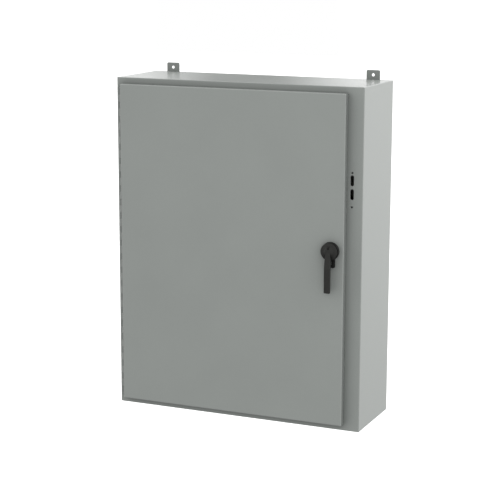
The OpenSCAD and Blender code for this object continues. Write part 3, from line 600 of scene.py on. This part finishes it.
def transformer_winding():
    """Wound former on the core's middle limb, between two insulating cheeks."""
    place = on_node("transformer_core")
    # Middle of the limb out of the panel, half width and half depth of the turns, former inside them
    middle_out, wide, deep, bare = 39.0, 30.7, 29.9, 0.6
    limb = rounded(-16.1, 17.9, 16.1, 60.1, 0.5)

    def collar(solid, outline, y0, y1):
        solid.loft([[(x, y, z) for x, z in edge]
                    for edge, y in ((outline, y0), (outline, y1), (limb, y1), (limb, y0))], loop=True)

    former = Solid(place)
    core = rounded(-wide + bare, middle_out - deep + bare, wide - bare, middle_out + deep - bare, 5.0)
    collar(former, core, -21.6, 21.6)
    turn = rounded(-wide, middle_out - deep, wide, middle_out + deep, 5.5, 5)
    count = len(turn)
    length = 42.0
    turns = int(length / (2 * WIRE))
    path = []
    for i in range(turns * count + 1):
        x, z = turn[i % count]
        path.append(Vector((x, -length / 2 + 2 * WIRE * i / count, z)))
    former.tube(path, WIRE, 6)
    add_piece("transformer_winding", former.mesh("transformer_winding"), "enclosure", "coil_wrap",
              "transformer_coil")
    cheeks = Solid(place)
    for y0, y1 in ((-23.6, -21.8), (21.8, 23.6)):
        collar(cheeks, rounded(-31.8, 8.0, 31.8, 70.0, 5.0), y0, y1)
    add_piece("transformer_cheeks", cheeks.mesh("transformer_cheeks"), "enclosure", "fuse_paper",
              "transformer_coil")


solenoid_winding()
transformer_winding()


# ---------------------------------------------------------------- wiring

# Routes of the bundles in millimetres of the shared frame, those of the CAD tubes they replace.
IN_DUCT = -49.5
ROUTES = [
    [(-210, IN_DUCT, -250), (-210, IN_DUCT, -175), (-170, IN_DUCT, -165)],
    [(-250, IN_DUCT, -170), (-250, IN_DUCT, -130), (-247, IN_DUCT, -60), (-247, IN_DUCT, 112)],
    [(170, IN_DUCT, -170), (170, IN_DUCT, -120), (172, -91, -60), (172, -91, 25), (151, -91, 25)],
    [(90, -60, -360), (90, -60, -330), (230, -60, -318), (230, IN_DUCT, -270), (230, IN_DUCT, -170)],
    [(250, -40, -358), (250, -40, -330), (270, IN_DUCT, -300), (270, IN_DUCT, -175), (240, IN_DUCT, -165)],
    [(-310, IN_DUCT, -170), (-310, IN_DUCT, 420), (-210, -66, 430), (-210, -66, 460)],
]
STRAND, STRAND_OFFSET, LAY_LENGTH, TIE_SPACING = 1.55, 1.8, 90.0, 70.0
# Corners of a tie: distance along the route, radius
TIE_SECTION = ((-1.2, 3.3), (-1.2, 3.5), (1.2, 3.5), (1.2, 3.3))


def smooth_route(points, ease=12.0, step=4.0):
    """Route with curved corners, resampled at even steps."""
    points = [Vector(p) for p in points]
    rough = [points[0]]
    for before, corner, after in zip(points, points[1:], points[2:]):
        enter = corner + (before - corner).normalized() * ease
        leave = corner + (after - corner).normalized() * ease
        for i in range(9):
            t = i / 8
            rough.append(enter * (1 - t) ** 2 + corner * 2 * t * (1 - t) + leave * t * t)
    rough.append(points[-1])
    even = [rough[0]]
    for a, b in zip(rough, rough[1:]):
        count = max(1, round((b - a).length / step))
        even += [a.lerp(b, (i + 1) / count) for i in range(count)]
    return even


def control_wiring():
    """Three twisted strands along each route, held by a tie at even steps."""
    wires, ties = Solid(), Solid()
    for route in ROUTES:
        path = smooth_route(route)
        strands = [[], [], []]
        done, last_tie = 0.0, 0.0
        before = path[0]
        for point, ahead, side, other in carried_frames(path):
            done += (point - before).length
            before = point
            for k, strand in enumerate(strands):
                a = 2 * math.pi * (done / LAY_LENGTH + k / 3)
                strand.append(point + (side * math.cos(a) + other * math.sin(a)) * STRAND_OFFSET)
            if done - last_tie > TIE_SPACING:
                last_tie = done
                ties.loft([[tuple(point + ahead * along + side * a + other * b)
                            for a, b in circle(reach, 20)] for along, reach in TIE_SECTION], loop=True)
        for strand in strands:
            wires.tube(strand, STRAND, 8)
    add_piece("control_wires", wires.mesh("control_wires"), "enclosure", "wire_jacket", "wiring_harness")
    add_piece("wire_ties", ties.mesh("wire_ties"), "enclosure", "roller_nylon", "wiring_harness")


control_wiring()


# ---------------------------------------------------------------- small fittings on the panel

BOTH = (-1, 1)
RELAYS, RELAY_START, RELAY_PITCH = 4, 80.0, 34.0
TERMINALS, TERMINAL_START, TERMINAL_PITCH = 12, -46.15, 8.0


def fuse_cartridges():
    """Fibre tubes with crimped end caps."""
    place = on_node("fuses")
    out = out_of_panel("fuses")
    cap = ((6.4, 22.0), (6.9, 22.2), (6.9, 24.0), (6.5, 24.6), (6.5, 25.4), (6.9, 26.0), (6.9, 35.0),
           (6.4, 35.8), (5.2, 36.0))
    tubes, caps = Solid(place), Solid(place)
    for x in (-32.0, 0.0, 32.0):
        tubes.turned([(5.4, -24.5), (6.3, -24.3), (6.3, 24.3), (5.4, 24.5)], 1, x, out, 40)
        for side in BOTH:
            caps.turned([(radius, side * along) for radius, along in cap], 1, x, out, 40)
    add_piece("fuse_tubes", tubes.mesh("fuse_tubes"), "enclosure", "fuse_paper", "fuses")
    add_piece("fuse_caps", caps.mesh("fuse_caps"), "enclosure", "zinc_plate", "fuses")


def screws(name, place, spots, radius, height):
    """A screw on each spot: right, up and out of the panel in a place, in millimetres."""
    solid = Solid(place)
    for x, y, z in spots:
        solid.screw(x, y, z, radius, height)
    add_piece(name, solid.mesh(name), "enclosure", "zinc_plate")


def four_corners(x, y, z):
    return [(a * x, b * y, z) for a in BOTH for b in BOTH]


def panel_screws():
    base, rail = on_node("switch_base"), on_panel(0.0, RAIL_Z)
    screws("switch_base_screws", base, four_corners(142.5, 205, 24), 4.8, 3.6)
    screws("side_plate_screws", base, four_corners(165, 45, 4), 5.4, 4)
    screws("controller_screws", on_node("controller_cover"), four_corners(101, 71, 54), 3.4, 2)
    screws("fuse_block_screws", on_node("fuse_block"), [(a * 16, 0, 16) for a in BOTH], 4, 3)
    screws("rail_screws", rail, [(-64.5, 0, 1), (67, 0, 1), (338, 0, 1)], 4.4, 3)
    screws("ground_bar_screws", on_node("ground_bar"), [(x, 0, 22) for x in range(-84, 85, 24)], 4.8, 3.6)
    terminals = [(TERMINAL_START + TERMINAL_PITCH * i, side * 17, 43)
                 for i in range(TERMINALS) for side in BOTH]
    screws("terminal_screws", rail, terminals, 2.3, 1.6)
    relays = [(RELAY_START + RELAY_PITCH * i + dx, side * 24, 30)
              for i in range(RELAYS) for dx in (7, 15, 23) for side in BOTH]
    screws("relay_screws", rail, relays, 2.7, 1.6)


def controller_face():
    """Bezel round the window, the display behind it and plain bars on the display."""
    place = on_node("controller_cover")
    bezel = Solid(place)
    outer, inner = (-96.0, -11.0, 36.0, 61.0), (-90.0, -5.0, 30.0, 55.0)
    layers = [(outer, 54.0, 3.0), (outer, 55.2, 3.0), ((-94.8, -9.8, 34.8, 59.8), 56.2, 2.0),
              ((-91.0, -6.0, 31.0, 56.0), 56.2, 1.0), (inner, 55.2, 0.6), (inner, 54.0, 0.6)]
    rings = [[(x, y, z) for x, y in rounded(*edge, radius)] for edge, z, radius in layers]
    bezel.loft(rings, loop=True)
    add_piece("display_bezel", bezel.mesh("display_bezel"), "enclosure", "case_plastic")
    glass = Solid(place)
    glass.block((-86.5, -1.5, 46.0), (26.5, 51.5, 47.4), 1.5, 0.4)
    add_piece("display_module", glass.mesh("display_module"), "enclosure", "sensor_plastic")
    marks = Solid(place)
    for row in range(3):
        for step in range(14):
            tall = 3.0 + 7.0 * abs(math.sin(0.9 * step + 1.7 * row))
            x, y = -80.0 + 7.4 * step, 3.0 + 16.0 * row
            marks.block((x, y, 47.4), (x + 5.4, y + tall, 47.7), 0.5, 0.1, 2)
    add_piece("display_bars", marks.mesh("display_bars"), "enclosure", "green_button")


def rail_fittings():
    """End stops on the rail, and a test lever and a lamp on each relay."""
    place = on_panel(0.0, RAIL_Z)
    stops = Solid(place)
    for x in (-58.0, 46.6, 73.0, 216.5):
        stops.block((x, -20.0, 7.6), (x + 6.4, 20.0, 20.0), 1.2, 0.5)
        stops.block((x + 0.6, -16.0, 19.6), (x + 5.8, 16.0, 34.0), 1.2, 0.5)
    add_piece("rail_end_stops", stops.mesh("rail_end_stops"), "enclosure", "case_plastic")
    levers, lamps = Solid(place), Solid(place)
    for i in range(RELAYS):
        x = RELAY_START + RELAY_PITCH * i
        levers.block((x + 6.0, -6.0, 72.0), (x + 24.0, -1.0, 73.2), 0.8, 0.3)
        levers.block((x + 11.0, -5.4, 73.0), (x + 19.0, -1.6, 75.6), 0.8, 0.3)
        lamps.turned([(2.0, 72.0), (2.0, 72.7), (1.4, 73.4), (0.3, 73.6)], 2, x + 15.0, 9.0, 20)
    add_piece("relay_levers", levers.mesh("relay_levers"), "enclosure", "flag_yellow")
    add_piece("relay_lamps", lamps.mesh("relay_lamps"), "enclosure", "green_button")


def duct_lid():
    """Lid snapped over the front of the duct."""
    low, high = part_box("wire_duct")
    half = (high[2] - low[2]) / MM / 2
    length = (high[0] - low[0]) / MM / 2
    lid = Solid(on_node("wire_duct"))
    top, skirt, sheet, bevel = 40.9, 33.0, 0.8, 0.7
    inside = half + 0.1
    outside = inside + sheet
    upper = [(outside - bevel, top), (outside, top - bevel), (outside, skirt), (inside, skirt),
             (inside, top - sheet)]
    section = upper + [(-y, z) for y, z in reversed(upper)]
    lid.loft([[(x, y, z) for y, z in section] for x in (0.5 - length, length - 0.5)])
    add_piece("duct_lid", lid.mesh("duct_lid"), "enclosure", "duct_plastic")


def neutral_bar_bolts():
    """Hexagon heads on washers at the ends of the bar."""
    bolts = Solid(on_node("neutral_bar"))
    washer, head, crown = circle(11.5, HEAD_SIDES), hexagon(9.6, HEAD_SIDES), circle(7.6, HEAD_SIDES)
    bar_face, seat = 44.0, 46.0
    layers = [(washer, bar_face), (washer, seat), (head, seat), (head, seat + 5.6), (crown, seat + 6.4)]
    for x in (-130.0, 130.0):
        bolts.stack([([(x + a, b) for a, b in outline], z) for outline, z in layers])
    add_piece("neutral_bar_bolts", bolts.mesh("neutral_bar_bolts"), "enclosure", "zinc_plate")


fuse_cartridges()
panel_screws()
controller_face()
rail_fittings()
duct_lid()
neutral_bar_bolts()


# ---------------------------------------------------------------- camera

# Right of the object and above it, in metres, aimed down and to the left, in degrees.
CAMERA_PLACE = (2.2087, -5.2466, 1.094)
LOOK_DOWN, ROLL, LOOK_LEFT = 11.333, -0.173, 23.614

camera = bpy.data.objects.new("camera", bpy.data.cameras.new("camera"))
bpy.context.scene.collection.objects.link(camera)
camera.data.lens = 111.08
camera.data.sensor_width = 36.0
camera.location = CAMERA_PLACE
camera.rotation_euler = (math.radians(90 - LOOK_DOWN), math.radians(ROLL), math.radians(LOOK_LEFT))
bpy.context.scene.camera = camera


# ---------------------------------------------------------------- light and floor

def softbox(name, place, aim, size, power):
    """Rectangular lamp aimed at a point and left out of reflections."""
    lamp = bpy.data.lights.new(name, "AREA")
    lamp.shape = "RECTANGLE"
    lamp.size, lamp.size_y = size
    lamp.energy = power
    holder = bpy.data.objects.new(name, lamp)
    holder.location = place
    holder.rotation_euler = (Vector(aim) - Vector(place)).to_track_quat("-Z", "Y").to_euler()
    holder.visible_glossy = False
    bpy.context.scene.collection.objects.link(holder)


softbox("front_softbox", (1.4, -4.2, 0.6), (0.0, -0.3, 0.0), (2.8, 2.8), 44.0)
softbox("right_softbox", (3.4, 1.6, 2.4), (0.4, -0.15, 0.5), (1.6, 1.6), 30.0)

# White surroundings: bright at the sides and behind, dimmer in front, overhead and in one gap.
# The gap is an upright dark strip that fades out higher up; its azimuth counts from straight
# behind the object, positive to the right.
FRONT_LEVEL, SIDE_LEVEL = 0.66, 1.38
CEILING_SHARE, GROUND_SHARE, GAP_SHARE = 0.72, 0.3, 0.1
GAP_AZIMUTH, GAP_HALF, GAP_SOFT = math.radians(-23.7), math.radians(1.2), math.radians(2.8)

world = bpy.data.worlds.new("studio")
bpy.context.scene.world = world
world.use_nodes = True
sky = world.node_tree


def sky_node(kind, operation=None, *values):
    node = sky.nodes.new(kind)
    if operation:
        node.operation = operation
    for i, value in enumerate(values):
        if isinstance(value, bpy.types.NodeSocket):
            sky.links.new(value, node.inputs[i])
        else:
            node.inputs[i].default_value = value
    return node.outputs[0]


def sky_range(value, low, high, to_low, to_high):
    return sky_node("ShaderNodeMapRange", None, value, low, high, to_low, to_high)


direction = sky.nodes.new("ShaderNodeTexCoord").outputs["Generated"]
split = sky.nodes.new("ShaderNodeSeparateXYZ")
sky.links.new(direction, split.inputs[0])
to_x, to_y, to_z = split.outputs
light = sky_range(to_y, -0.95, -0.1, FRONT_LEVEL, SIDE_LEVEL)
light = sky_node("ShaderNodeMath", "MULTIPLY", light, sky_range(to_z, 0.35, 0.95, 1.0, CEILING_SHARE))
light = sky_node("ShaderNodeMath", "MULTIPLY", light, sky_range(to_z, -0.5, 0.0, GROUND_SHARE, 1.0))
azimuth = sky_node("ShaderNodeMath", "ARCTAN2", to_x, to_y)
off_gap = sky_node("ShaderNodeMath", "SUBTRACT", azimuth, GAP_AZIMUTH)
off_gap = sky_node("ShaderNodeMath", "ABSOLUTE", off_gap)
gap = sky_range(off_gap, GAP_HALF, GAP_HALF + GAP_SOFT, GAP_SHARE, 1.0)
gap = sky_node("ShaderNodeMath", "MAXIMUM", gap, sky_range(to_z, 0.3, 0.5, 0.0, 1.0))
light = sky_node("ShaderNodeMath", "MULTIPLY", light, gap)
seen = sky.nodes.new("ShaderNodeLightPath").outputs["Is Camera Ray"]
light = sky_node("ShaderNodeMath", "MAXIMUM", light, seen)
sky.nodes["Background"].inputs["Color"].default_value = (1.0, 1.0, 1.0, 1.0)
sky.links.new(light, sky.nodes["Background"].inputs["Strength"])
bpy.context.scene.view_settings.view_transform = "Standard"

FLOOR_Z = -4.0
slab = bmesh.new()
bmesh.ops.create_grid(slab, x_segments=8, y_segments=8, size=60.0)
mesh = bpy.data.meshes.new("floor")
slab.to_mesh(mesh)
slab.free()
floor = bpy.data.objects.new("floor", mesh)
floor.location = (0.0, 0.0, FLOOR_Z)
bpy.context.scene.collection.objects.link(floor)
pale = Paint("pale_floor")
shades = pale.blend(pale.noise(2.0), (0.93, 0.93, 0.93), (0.95, 0.95, 0.95))
floor.data.materials.append(pale.finish(shades, 0.9))
floor.visible_diffuse = False
floor.visible_glossy = False

# A wide lamp that only the floor receives keeps it as pale as the surroundings.
wash = bpy.data.lights.new("floor_wash", "SUN")
wash.energy = 1.6
wash.angle = math.radians(60.0)
wash_holder = bpy.data.objects.new("floor_wash", wash)
bpy.context.scene.collection.objects.link(wash_holder)
only_floor = bpy.data.collections.new("only_floor")
only_floor.objects.link(floor)
wash_holder.light_linking.receiver_collection = only_floor
